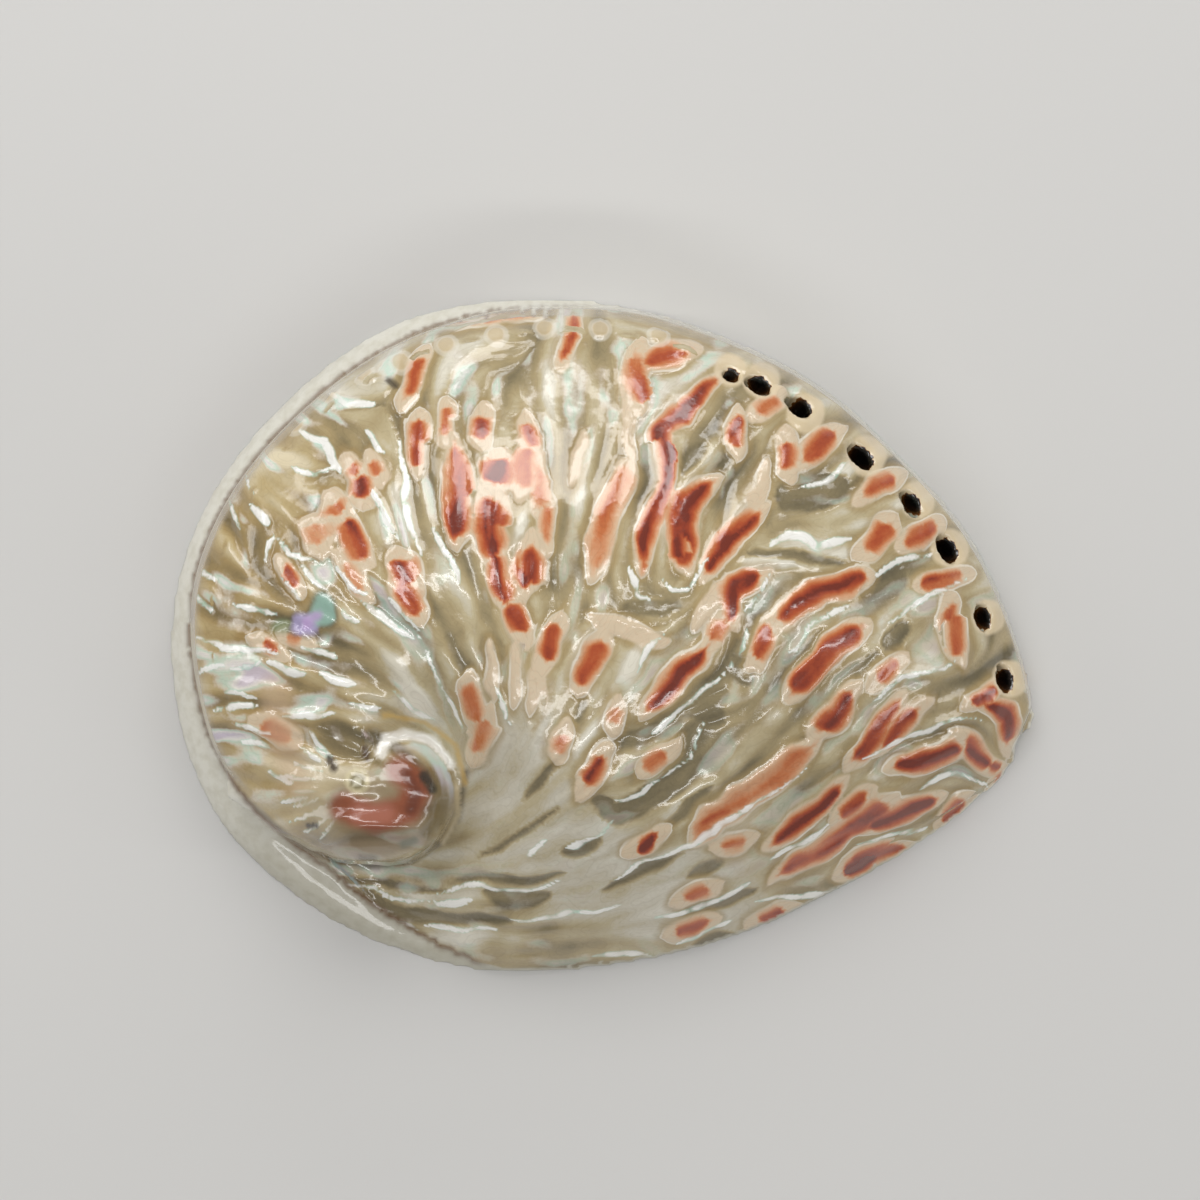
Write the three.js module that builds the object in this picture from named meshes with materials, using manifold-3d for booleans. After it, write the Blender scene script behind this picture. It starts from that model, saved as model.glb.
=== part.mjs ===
// A polished abalone shell, lying mouth-down on its rim.
// Millimetres, +Z up. The origin is the middle of the outline, on the plane the rim rests on.
// +X runs to the growing tip, and +Y to the side with the row of breathing pores.

import * as THREE from "three";
import { mergeVertices } from "three/addons/utils/BufferGeometryUtils.js";
import Module from "manifold-3d";

// The outline seen from above, anticlockwise from the growing tip.
const OUTLINE = [
  [80, -17], [78.5, -6.5], [73.5, 8], [67, 20], [56, 32.5], [41.5, 45.5], [27, 53.5], [7, 60.5],
  [-10, 62.5], [-28, 61], [-42, 56], [-58.5, 43.5], [-71, 28.5], [-78, 13], [-80, -4], [-77, -21.5],
  [-69, -37], [-54.5, -50], [-39, -58], [-19, -62.5], [9, -60], [27, -55], [44, -47], [60.5, -37.5],
  [70, -30], [76, -24],
];

// The dome: its highest point, and the keel where its back turns down into the steep side wall.
const CREST = { x: -8, y: 12, height: 44, shoulder: 14, power: 2.1, root: 0.9 };
const WALL = 4; // shell thickness under the crest
const KEEL_HEIGHT = [[-24, 2], [-14, 7], [0, 12], [20, 17], [43, 20], [73, 21.5], [110, 21.5], [165, 20],
  [200, 18.5], [218, 16], [230, 9], [242, 4.5], [256, 3], [270, 2], [325, 1.6]]; // degrees about the crest, mm
const KEEL_SHARE = [[-18, 0.985], [0, 0.97], [20, 0.957], [43, 0.947], [73, 0.937], [92, 0.937], [128, 0.955],
  [165, 0.965], [225, 0.97], [245, 0.985], [325, 0.99]]; // share of the way from the crest to the outline

// The growth lines fan out from this point beside the spire, and bend as they run.
const FAN = { x: -26, y: -35.5, bend: 0.0062 };
const GROWTH_LINES = 96;
const RINGS = 18;
const RING_CROWDING = 1.7; // above 1, rings lie closer together towards the outline
const FOLD = { height: 0.8, from: 8, full: 32, rimFade: 10 }; // growth folds, by distance from the fan's point
const FOLD_SPAN = [[-34, 0], [-22, 1], [175, 1], [200, 0]]; // degrees about the fan's point, share

// The pale ledge outside the body whorl: its width and its height, by degrees about the crest.
const LEDGE_WIDTH = [[70, 0.5], [95, 1.6], [126, 3.5], [180, 3.2], [205, 5], [219, 6.8], [232, 8], [246, 5],
  [262, 0.5]];
const LEDGE_HEIGHT = [[60, 1.5], [110, 5], [150, 7], [215, 7.5], [250, 4], [285, 1.5]];
const WHORL_FOOT = 0.2; // the body whorl starts this high, inside the ledge
const LEDGE_MIDDLE = 5; // height under the crest, where the hollow cuts it away
const LEDGE_ROUNDING = 9; // power of the ledge's rounded edge

// The rim that rests on the table, widest where the inner lip makes a shelf.
const RIM_WIDTH = [[-20, 3], [10, 4], [50, 4.4], [75, 5.5], [95, 7.5], [130, 11], [165, 13], [200, 13.5],
  [225, 12], [250, 5.5], [270, 3.2], [330, 2.6]];

// The spire, a low mound on the older end: its outline about its own middle, in degrees and mm, and
// where its edge is crisp (1) or runs gently into the dome (0).
const SPIRE = { x: -40, y: -29.5, foot: 10, height: 32 };
const SPIRE_OUTLINE = [[12, 14.8], [46, 15], [68, 14.4], [90, 15.5], [120, 22], [150, 30], [178, 30],
  [191, 24], [207, 18.6], [227, 15.5], [260, 13], [326, 13.6]];
const SPIRE_CRISP = [[50, 1], [85, 0.6], [115, 0], [185, 0], [215, 0.7], [232, 1]];
const CRISP_EDGE = { power: 4, root: 0.5 };
const GENTLE_EDGE = { power: 2, root: 1.2 };
const TRENCH = { depth: 9, width: 8, rimFade: 8 }; // the dome sinks beside the spire's crisp edge
const SPIRE_WALL = 3.5;
const SPIRE_HOLLOW_FOOT = 6;

// The suture, a groove that winds over the spire towards its tip: degrees about the spire's middle and mm.
const SUTURE = [[55, 13.6], [74, 12], [92, 8.8], [112, 6.4], [150, 5], [185, 5.6]];
const SUTURE_TUBE = { radius: 0.9, lift: 0.3, steps: 20, corners: 4 };

// The breathing pores along the shoulder: degrees about the crest, share of the way to the outline,
// and length along the row. The last is a notch still open at the growing edge.
const PORES = [
  [48.6, 0.885, 3.4], [43, 0.895, 5.2], [34.5, 0.905, 5.4], [20.8, 0.912, 5.8], [10.8, 0.922, 5.6],
  [3.2, 0.93, 5.6], [-6.4, 0.94, 5.2], [-13.6, 0.95, 5.2],
];
const PORE_ASPECT = 0.84; // width over length
const NOTCH = { x: 79.2, y: -20.6, radius: 2.9 };
const PORE_CUT = { above: 6, below: 12, sides: 14 };

// Older pores are closed knobs that shrink back along the shoulder towards the spire.
const KNOBS = { count: 14, first: 60, step: 13.5, shrink: 0.965, radius: 2.6, aspect: 0.85, rise: 0.5 };
const KNOB_FACETS = { around: 8, down: 5 };
const KNOB_SHARE = [[55, 0.885], [100, 0.88], [125, 0.9], [150, 0.925], [200, 0.93]];

// How finely each moulded cone is meshed. Rings crowd towards the foot where crowding is under 1.
const LEDGE_MESH = { sides: 84, rings: 7, crowding: 0.2 };
const SPIRE_MESH = { sides: 40, rings: 8, crowding: 0.7 };
const HOLLOW_MESH = { sides: 64, rings: 12, crowding: 0.8 };

const RESTING_PLANE = 0;
const BELOW = -3; // cutters reach this far under the resting plane
const OUTLINE_SAMPLES = 720;
const LAST_RING = 0.999; // share past which a moulded cone has reached its foot
const BEND_ROUNDS = 30; // rounds after which a bending line's length has settled
const SLOPE_STEP = { turn: 0.01, share: 0.004 }; // steps for measuring slopes on the shoulder
const WELD = 1e-4; // vertices nearer than this are one
const DEGREES = Math.PI / 180;

const wasm = await Module();
wasm.setup();

const smooth = (share) => share * share * (3 - 2 * share);

// A value that changes smoothly between listed directions, all the way round.
function aroundBy(list) {
  const degrees = list.map(([at]) => at);
  return (angle) => {
    const at = THREE.MathUtils.euclideanModulo(angle / DEGREES - degrees[0], 360) + degrees[0];
    const next = degrees.findIndex((d) => d > at);
    const [from, low] = list[next < 0 ? list.length - 1 : next - 1];
    const [to, high] = next < 0 ? [degrees[0] + 360, list[0][1]] : list[next];
    return THREE.MathUtils.lerp(low, high, smooth((at - from) / (to - from)));
  };
}

// The distance from a point inside a closed curve out to that curve, by direction.
function reachFrom(centre, points) {
  const polar = points
    .map((p) => [Math.atan2(p.y - centre.y, p.x - centre.x), Math.hypot(p.x - centre.x, p.y - centre.y)])
    .sort((a, b) => a[0] - b[0]);
  const [first, last] = [polar[0], polar.at(-1)];
  polar.unshift([last[0] - 2 * Math.PI, last[1]]);
  polar.push([first[0] + 2 * Math.PI, first[1]]);
  return (angle) => {
    const at = Math.atan2(Math.sin(angle), Math.cos(angle));
    let low = 0;
    let high = polar.length - 1;
    while (high - low > 1) {
      const middle = (low + high) >> 1;
      if (polar[middle][0] > at) high = middle;
      else low = middle;
    }
    return THREE.MathUtils.mapLinear(at, polar[low][0], polar[high][0], polar[low][1], polar[high][1]);
  };
}

const pointAt = (centre, angle, distance) => ({
  x: centre.x + distance * Math.cos(angle),
  y: centre.y + distance * Math.sin(angle),
});

const curve = new THREE.CatmullRomCurve3(OUTLINE.map(([x, y]) => new THREE.Vector3(x, y, 0)), true);
const rimReach = reachFrom(CREST, curve.getPoints(OUTLINE_SAMPLES));
const ledgeWidth = aroundBy(LEDGE_WIDTH);
const ledgeHeight = aroundBy(LEDGE_HEIGHT);
const rimWidth = aroundBy(RIM_WIDTH);
const keelHeight = aroundBy(KEEL_HEIGHT);
const keelShare = aroundBy(KEEL_SHARE);
const spireReach = aroundBy(SPIRE_OUTLINE);
const spireCrisp = aroundBy(SPIRE_CRISP);
const whorlReach = (angle) => rimReach(angle) - ledgeWidth(angle);
const hollowReach = (angle) => rimReach(angle) - rimWidth(angle);

// A closed outline about the crest, as points.
const outlineOf = (reach) =>
  Array.from({ length: OUTLINE_SAMPLES }, (_, i) => {
    const angle = (i / OUTLINE_SAMPLES) * 2 * Math.PI;
    return pointAt(CREST, angle, reach(angle));
  });

// How far the dome sinks at a point beside or under the spire.
function trenchDepth(x, y) {
  const angle = Math.atan2(y - SPIRE.y, x - SPIRE.x);
  const outside = Math.max(0, Math.hypot(x - SPIRE.x, y - SPIRE.y) - spireReach(angle)) / TRENCH.width;
  const towardsRim = Math.hypot(x - CREST.x, y - CREST.y) / rimReach(Math.atan2(y - CREST.y, x - CREST.x));
  const rimFade = 1 - Math.min(1, towardsRim) ** TRENCH.rimFade;
  return TRENCH.depth * spireCrisp(angle) * Math.exp(-(outside ** 2)) * rimFade;
}

// The height of a dome on an outline about the crest: a rounded back, then a wall below the keel.
function domeHeight(x, y, reach, thickness) {
  const angle = Math.atan2(y - CREST.y, x - CREST.x);
  const share = Math.min(1, Math.hypot(x - CREST.x, y - CREST.y) / reach(angle));
  const keel = Math.max(0, keelHeight(angle) - thickness);
  const turn = keelShare(angle);
  if (share > turn) return keel * Math.sqrt(1 - ((share - turn) / (1 - turn)) ** 2);
  const along = share / turn;
  const foot = THREE.MathUtils.lerp(CREST.shoulder - thickness, keel, smooth(along));
  const back = (1 - along ** CREST.power) ** CREST.root;
  return foot + (CREST.height - thickness - foot) * back - trenchDepth(x, y);
}

const whorlHeight = (x, y) => domeHeight(x, y, whorlReach, 0);
const hollowHeight = (x, y) => domeHeight(x, y, hollowReach, WALL);

// A cone whose vertices are moved: place(angle, share, base) gives each its point,
// where share runs from 0 at the tip to 1 at the foot, and base is the middle of the underside.
function mouldedCone({ sides, rings }, place) {
  const geometry = new THREE.ConeGeometry(1, 1, sides, rings);
  const position = geometry.getAttribute("position");
  for (let i = 0; i < position.count; i++) {
    const x = position.getZ(i);
    const y = position.getX(i);
    const share = 0.5 - position.getY(i);
    const base = share > 0.5 && Math.hypot(x, y) < WELD;
    const point = place(Math.atan2(y, x), share, base);
    position.setXYZ(i, point.x, point.y, point.z);
  }
  return solid(geometry);
}

// A closed geometry as a solid that can be joined and cut.
function solid(geometry) {
  geometry.deleteAttribute("normal");
  geometry.deleteAttribute("uv");
  const welded = mergeVertices(geometry, WELD);
  return new wasm.Manifold(
    new wasm.Mesh({
      numProp: 3,
      vertProperties: welded.getAttribute("position").array,
      triVerts: new Uint32Array(welded.index.array),
    }),
  );
}

// How far a growth line runs before it meets the outline, as it bends.
function growthLength(angle, reach) {
  let length = reach(angle);
  for (let i = 0; i < BEND_ROUNDS; i++) length = reach(angle + FAN.bend * length);
  return length;
}

// The body whorl: a dome whose mesh lines are the growth lines, raised and lowered in turn.
function bodyWhorl() {
  const reach = reachFrom(FAN, outlineOf(whorlReach));
  const span = aroundBy(FOLD_SPAN);
  return mouldedCone({ sides: GROWTH_LINES, rings: RINGS }, (angle, share, base) => {
    if (base) return { x: FAN.x, y: FAN.y, z: WHORL_FOOT };
    const spread = 1 - (1 - share) ** RING_CROWDING;
    const distance = growthLength(angle, reach) * spread;
    const { x, y } = pointAt(FAN, angle + FAN.bend * distance, distance);
    const wave = Math.cos((angle * GROWTH_LINES) / 2) * span(angle);
    const fade = THREE.MathUtils.smoothstep(distance, FOLD.from, FOLD.full) * (1 - spread ** FOLD.rimFade);
    const z = whorlHeight(x, y) + FOLD.height * wave * fade;
    return { x, y, z: share > LAST_RING ? WHORL_FOOT : Math.max(WHORL_FOOT, z) };
  });
}

// The ledge of the inner lip: a low pad with a rounded edge, under the whole outline.
function ledge() {
  return mouldedCone(LEDGE_MESH, (angle, share, base) => {
    if (base) return { x: CREST.x, y: CREST.y, z: RESTING_PLANE };
    const spread = share ** LEDGE_MESH.crowding;
    const { x, y } = pointAt(CREST, angle, rimReach(angle) * spread);
    const height = THREE.MathUtils.lerp(LEDGE_MIDDLE, ledgeHeight(angle), spread);
    return { x, y, z: height * Math.sqrt(1 - spread ** LEDGE_ROUNDING) };
  });
}

// The height of the spire's mound at a share of the way to its outline.
function spireHeight(angle, share, foot, height) {
  const crisp = spireCrisp(angle);
  const power = THREE.MathUtils.lerp(GENTLE_EDGE.power, CRISP_EDGE.power, crisp);
  const root = THREE.MathUtils.lerp(GENTLE_EDGE.root, CRISP_EDGE.root, crisp);
  return foot + (height - foot) * (1 - share ** power) ** root;
}

// The spire's mound, drawn in by a wall thickness, with the middle of its underside at a given height.
function spireMound(wall, foot, bottom) {
  return mouldedCone(SPIRE_MESH, (angle, share, underside) => {
    if (underside) return { x: SPIRE.x, y: SPIRE.y, z: bottom };
    const spread = share ** SPIRE_MESH.crowding;
    const { x, y } = pointAt(SPIRE, angle, (spireReach(angle) - wall) * spread);
    return { x, y, z: spireHeight(angle, spread, foot, SPIRE.height - wall) };
  });
}

// The suture groove: a tube that winds over the spire's top.
function sutureCutter() {
  const path = SUTURE.map(([degrees, distance]) => {
    const angle = degrees * DEGREES;
    const { x, y } = pointAt(SPIRE, angle, distance);
    const mound = spireHeight(angle, distance / spireReach(angle), SPIRE.foot, SPIRE.height);
    return new THREE.Vector3(x, y, Math.max(mound, whorlHeight(x, y)) + SUTURE_TUBE.lift);
  });
  const section = new THREE.Shape().absarc(0, 0, SUTURE_TUBE.radius, 0, 2 * Math.PI);
  const extrudePath = new THREE.CatmullRomCurve3(path);
  const { steps, corners } = SUTURE_TUBE;
  return solid(new THREE.ExtrudeGeometry(section, { steps, curveSegments: corners, extrudePath }));
}

// The hollow inside: the dome drawn in by the wall, with the rim's width left to stand on.
function hollow() {
  const { rings, crowding } = HOLLOW_MESH;
  return mouldedCone(HOLLOW_MESH, (angle, share, base) => {
    if (base) return { x: CREST.x, y: CREST.y, z: BELOW };
    const spread = Math.min(1, (share * rings) / (rings - 1)) ** crowding;
    const { x, y } = pointAt(CREST, angle, hollowReach(angle) * spread);
    return { x, y, z: share > LAST_RING ? BELOW : hollowHeight(x, y) };
  });
}

// A frame on the shoulder: a point on the surface, the outward normal and the direction along the row.
function shoulder(degrees, share) {
  const at = (angle, s) => {
    const { x, y } = pointAt(CREST, angle, whorlReach(angle) * s);
    return new THREE.Vector3(x, y, whorlHeight(x, y));
  };
  const angle = degrees * DEGREES;
  const point = at(angle, share);
  const along = at(angle + SLOPE_STEP.turn, share).sub(at(angle - SLOPE_STEP.turn, share)).normalize();
  const out = at(angle, share + SLOPE_STEP.share).sub(at(angle, share - SLOPE_STEP.share)).normalize();
  const normal = out.cross(along).normalize();
  return { point, normal, along };
}

// Moves a shape that stands on Z, with its length along X, to a frame on the shoulder.
function stand(geometry, { point, normal, along }) {
  const side = normal.clone().cross(along).normalize();
  const matrix = new THREE.Matrix4().makeBasis(side.clone().cross(normal), side, normal);
  return geometry.applyMatrix4(matrix.setPosition(point));
}

// A cutter for one open pore, straight through the wall.
function poreCutter([degrees, share, length]) {
  const depth = PORE_CUT.above + PORE_CUT.below;
  const geometry = new THREE.CylinderGeometry(length / 2, length / 2, depth, PORE_CUT.sides);
  geometry.rotateX(Math.PI / 2).translate(0, 0, PORE_CUT.above - depth / 2).scale(1, PORE_ASPECT, 1);
  return solid(stand(geometry, shoulder(degrees, share)));
}

// The pore that is still a notch in the growing edge.
function notchCutter() {
  const height = CREST.height;
  const geometry = new THREE.CylinderGeometry(NOTCH.radius, NOTCH.radius, height, PORE_CUT.sides);
  return solid(geometry.rotateX(Math.PI / 2).translate(NOTCH.x, NOTCH.y, height / 2 + BELOW));
}

// The closed pores, each a flattened ball smaller than the last.
function knobs() {
  const share = aroundBy(KNOB_SHARE);
  let degrees = KNOBS.first;
  return Array.from({ length: KNOBS.count }, (_, i) => {
    const radius = KNOBS.radius * KNOBS.shrink ** i;
    const ball = new THREE.SphereGeometry(radius, KNOB_FACETS.around, KNOB_FACETS.down);
    const geometry = ball.scale(1, KNOBS.aspect, KNOBS.rise).rotateX(Math.PI / 2);
    const knob = solid(stand(geometry, shoulder(degrees, share(degrees * DEGREES))));
    degrees += KNOBS.step * KNOBS.shrink ** i;
    return knob;
  });
}

function shellSolid() {
  let made = bodyWhorl().add(ledge()).add(spireMound(0, SPIRE.foot, SPIRE.foot)).subtract(sutureCutter());
  for (const knob of knobs()) made = made.add(knob);
  made = made.subtract(hollow()).subtract(spireMound(SPIRE_WALL, SPIRE_HOLLOW_FOOT, BELOW));
  for (const pore of PORES) made = made.subtract(poreCutter(pore));
  return made.subtract(notchCutter());
}

// A joined solid as a geometry with flat faces.
function geometryOf(made) {
  const mesh = made.getMesh();
  const geometry = new THREE.BufferGeometry();
  geometry.setAttribute("position", new THREE.BufferAttribute(mesh.vertProperties, 3));
  geometry.setIndex(new THREE.BufferAttribute(mesh.triVerts, 1));
  geometry.computeVertexNormals();
  return geometry;
}

const pearl = new THREE.MeshStandardMaterial({ color: 0xb9a988, roughness: 0.25, metalness: 0 });
const shell = new THREE.Mesh(geometryOf(shellSolid()), pearl);
shell.name = "shell";

const abalone = new THREE.Group();
abalone.add(shell);

export default abalone;
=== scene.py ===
# %% [markdown]
# # A polished abalone shell
# The shell lies mouth-down on its rim, and the camera looks straight down on its back.
# Its back was ground and polished, so the layers of nacre show as olive pools between pale
# lobes, and the lobes have rust-red flames. All of it is one piece that grew, so this lesson
# takes the one solid of the frame, gives it a fine skin, models its relief and paints it.

# %% Load the frame
import math

import bmesh
import bpy
import numpy as np
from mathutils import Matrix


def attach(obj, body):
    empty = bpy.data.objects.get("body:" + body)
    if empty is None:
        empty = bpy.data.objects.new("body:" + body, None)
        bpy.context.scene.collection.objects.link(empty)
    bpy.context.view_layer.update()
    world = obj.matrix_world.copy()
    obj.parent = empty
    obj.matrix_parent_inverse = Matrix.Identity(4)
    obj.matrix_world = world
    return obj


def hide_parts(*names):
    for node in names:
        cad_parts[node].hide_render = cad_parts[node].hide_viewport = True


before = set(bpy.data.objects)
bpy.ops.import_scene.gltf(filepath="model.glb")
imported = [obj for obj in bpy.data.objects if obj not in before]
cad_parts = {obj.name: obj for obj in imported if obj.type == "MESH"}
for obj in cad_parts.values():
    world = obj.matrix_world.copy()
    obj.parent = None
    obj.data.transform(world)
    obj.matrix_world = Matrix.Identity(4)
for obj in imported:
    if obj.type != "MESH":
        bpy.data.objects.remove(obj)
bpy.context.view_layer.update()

MM = 0.001

# %% [markdown]
# ## Camera
# The photograph looks straight at the shell's back from far away. A long lens two and a half
# metres above does the same, and it keeps each place of the shell on its own pixel, so that
# markings can be placed by the pixels where they were read.

# %% Set the camera
PHOTO_SIZE = 1200
MM_PER_PIXEL = 0.1837
ORIGIN_PIXEL = (602.5, 635.5)
CAMERA_HEIGHT = 2.5
FRAMED_HEIGHT = 0.014

camera = bpy.data.objects.new("camera", bpy.data.cameras.new("camera"))
bpy.context.scene.collection.objects.link(camera)
bpy.context.scene.camera = camera
middle = PHOTO_SIZE / 2
camera.location = (
    (middle - ORIGIN_PIXEL[0]) * MM_PER_PIXEL * MM,
    (ORIGIN_PIXEL[1] - middle) * MM_PER_PIXEL * MM,
    CAMERA_HEIGHT,
)
frame_width = PHOTO_SIZE * MM_PER_PIXEL * MM
camera.data.lens = camera.data.sensor_width * (CAMERA_HEIGHT - FRAMED_HEIGHT) / frame_width
print("lens in mm:", round(camera.data.lens, 1))

# %% [markdown]
# ## Floor and light
# A pale floor and soft lights make a plain studio. Polished nacre shows its ridges by what
# they mirror, so narrow strips stand round the shell, with one wide soft light from the top of the picture.

# %% Make the floor
FLOOR_HALF = 1.5
FLOOR_DROP = 0.05 * MM
FLOOR_COLOUR = (0.62, 0.61, 0.59, 1)


def shown(name, form):
    """Makes an object from a bmesh and shows it."""
    mesh = bpy.data.meshes.new(name)
    form.to_mesh(mesh)
    form.free()
    made = bpy.data.objects.new(name, mesh)
    bpy.context.scene.collection.objects.link(made)
    return made


form = bmesh.new()
bmesh.ops.create_grid(form, x_segments=1, y_segments=1, size=FLOOR_HALF)
bmesh.ops.translate(form, verts=form.verts, vec=(0, 0, -FLOOR_DROP))
floor = shown("floor", form)
floor_paint = bpy.data.materials.new("floor_paint")
floor_paint.use_nodes = True
floor_paint.node_tree.nodes["Principled BSDF"].inputs["Base Color"].default_value = FLOOR_COLOUR
floor_paint.node_tree.nodes["Principled BSDF"].inputs["Roughness"].default_value = 0.7
floor.data.materials.append(floor_paint)

# %% Hang the lights
LIGHTS = [  # name, azimuth, elevation, distance, width, height, watts
    ("key", 95, 48, 0.9, 0.8, 0.4, 3.9),
    ("low_top", 75, 24, 0.9, 0.8, 0.10, 1.0),
    ("right_strip", -6, 55, 0.9, 0.06, 0.8, 1.0),
    ("left_strip", 172, 56, 0.9, 0.06, 0.8, 1.2),
    ("low_right", -20, 22, 0.9, 0.7, 0.12, 0.7),
    ("low_left", 160, 24, 0.9, 0.7, 0.12, 0.8),
    ("near_strip", 268, 50, 0.9, 0.8, 0.08, 1.3),
]
WORLD_GREY = 0.26


def hang(name, azimuth, elevation, distance, width, height, watts):
    """Hangs a soft light that looks at the shell."""
    data = bpy.data.lights.new(name, "AREA")
    data.shape = "RECTANGLE"
    data.size = width
    data.size_y = height
    data.energy = watts
    made = bpy.data.objects.new(name, data)
    turn, rise = math.radians(azimuth), math.radians(elevation)
    made.location = (
        distance * math.cos(rise) * math.cos(turn),
        distance * math.cos(rise) * math.sin(turn),
        distance * math.sin(rise),
    )
    made.rotation_euler = made.location.to_track_quat("Z", "Y").to_euler()
    made.visible_camera = False
    bpy.context.scene.collection.objects.link(made)


for light in LIGHTS:
    hang(*light)
world = bpy.data.worlds.new("studio")
world.use_nodes = True
world.node_tree.nodes["Background"].inputs["Color"].default_value = (WORLD_GREY, WORLD_GREY, WORLD_GREY, 1)
bpy.context.scene.world = world
bpy.context.scene.view_settings.view_transform = "Standard"
print("lights:", len(LIGHTS))

# %% [markdown]
# ## A fine skin
# The solid has about ten thousand facets. A remesh lays an even skin of small quads over it,
# so that relief and markings have vertices to live on. The even pleats of the solid are
# stand-ins for the growth folds, so the skin's back is smoothed before the real ones go on.

# %% Lay the skin
SKIN_SIZE = 0.72 * MM
KEPT_SHARE = 0.74
MERGE_DISTANCE = 0.001 * MM
CREST = (-8.0, 12.0)


def settle(piece):
    """Bakes a piece's modifiers into its mesh."""
    graph = bpy.context.evaluated_depsgraph_get()
    baked = bpy.data.meshes.new_from_object(piece.evaluated_get(graph))
    piece.modifiers.clear()
    piece.data = baked


def read(mesh, layer):
    """One vector of each vertex of a mesh, as rows of an array."""
    flat = np.empty(len(mesh.vertices) * 3)
    mesh.vertices.foreach_get(layer, flat)
    return flat.reshape(-1, 3)


def outward_facing(mesh):
    """How far each vertex faces up and away from the crest: over 0 outside, under 0 in the hollow."""
    away = read(mesh, "co")[:, :2] / MM - CREST
    away /= np.linalg.norm(away, axis=1)[:, None]
    normal = read(mesh, "normal")
    return 0.8 * normal[:, 2] + 0.6 * (normal[:, :2] * away).sum(1)


form = bmesh.new()
form.from_mesh(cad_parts["shell"].data)
bmesh.ops.remove_doubles(form, verts=form.verts, dist=MERGE_DISTANCE)
shell = shown("abalone_shell", form)
skin = shell.modifiers.new("skin", "REMESH")
skin.mode = "VOXEL"
skin.voxel_size = SKIN_SIZE
settle(shell)
print("skin quads:", len(shell.data.polygons))

# %% Thin the skin of the hollow
PORES = [(730, 371, 12), (762, 381, 14), (805, 414, 15), (866, 456, 16), (917, 500, 14), (950, 548, 15),
         (989, 617, 13), (1012, 679, 14)]


def pixels(mesh):
    """The pixel of the photograph on which each vertex of a mesh lies."""
    spots = read(mesh, "co") / MM / MM_PER_PIXEL
    return ORIGIN_PIXEL[0] + spots[:, 0], ORIGIN_PIXEL[1] - spots[:, 1]


pixel_x, pixel_y = pixels(shell.data)
hollow = outward_facing(shell.data) < -0.25
for x, y, radius in PORES:
    hollow &= np.hypot(pixel_x - x, pixel_y - y) > 2.4 * radius
hidden = shell.vertex_groups.new(name="hollow")
hidden.add(np.flatnonzero(hollow).tolist(), 1.0, "REPLACE")
thin = shell.modifiers.new("thin", "DECIMATE")
thin.ratio = KEPT_SHARE
thin.vertex_group = hidden.name
settle(shell)
shell.vertex_groups.clear()
print("triangles kept:", sum(len(p.vertices) - 2 for p in shell.data.polygons))


# %% Read the skin
def smoothstep(low, high, value):
    """Rises smoothly from 0 at low to 1 at high."""
    share = np.clip((value - low) / (high - low), 0, 1)
    return share * share * (3 - 2 * share)


place = read(shell.data, "co") / MM
normal = read(shell.data, "normal")
facing = outward_facing(shell.data)
outside = smoothstep(-0.1, 0.2, facing)
pixel_x, pixel_y = pixels(shell.data)
from_crest = place[:, :2] - CREST
reach = np.hypot(from_crest[:, 0], from_crest[:, 1])
turn = np.degrees(np.arctan2(from_crest[:, 1], from_crest[:, 0])) % 360
print("outside share:", round(float(outside.mean()), 2))
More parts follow.
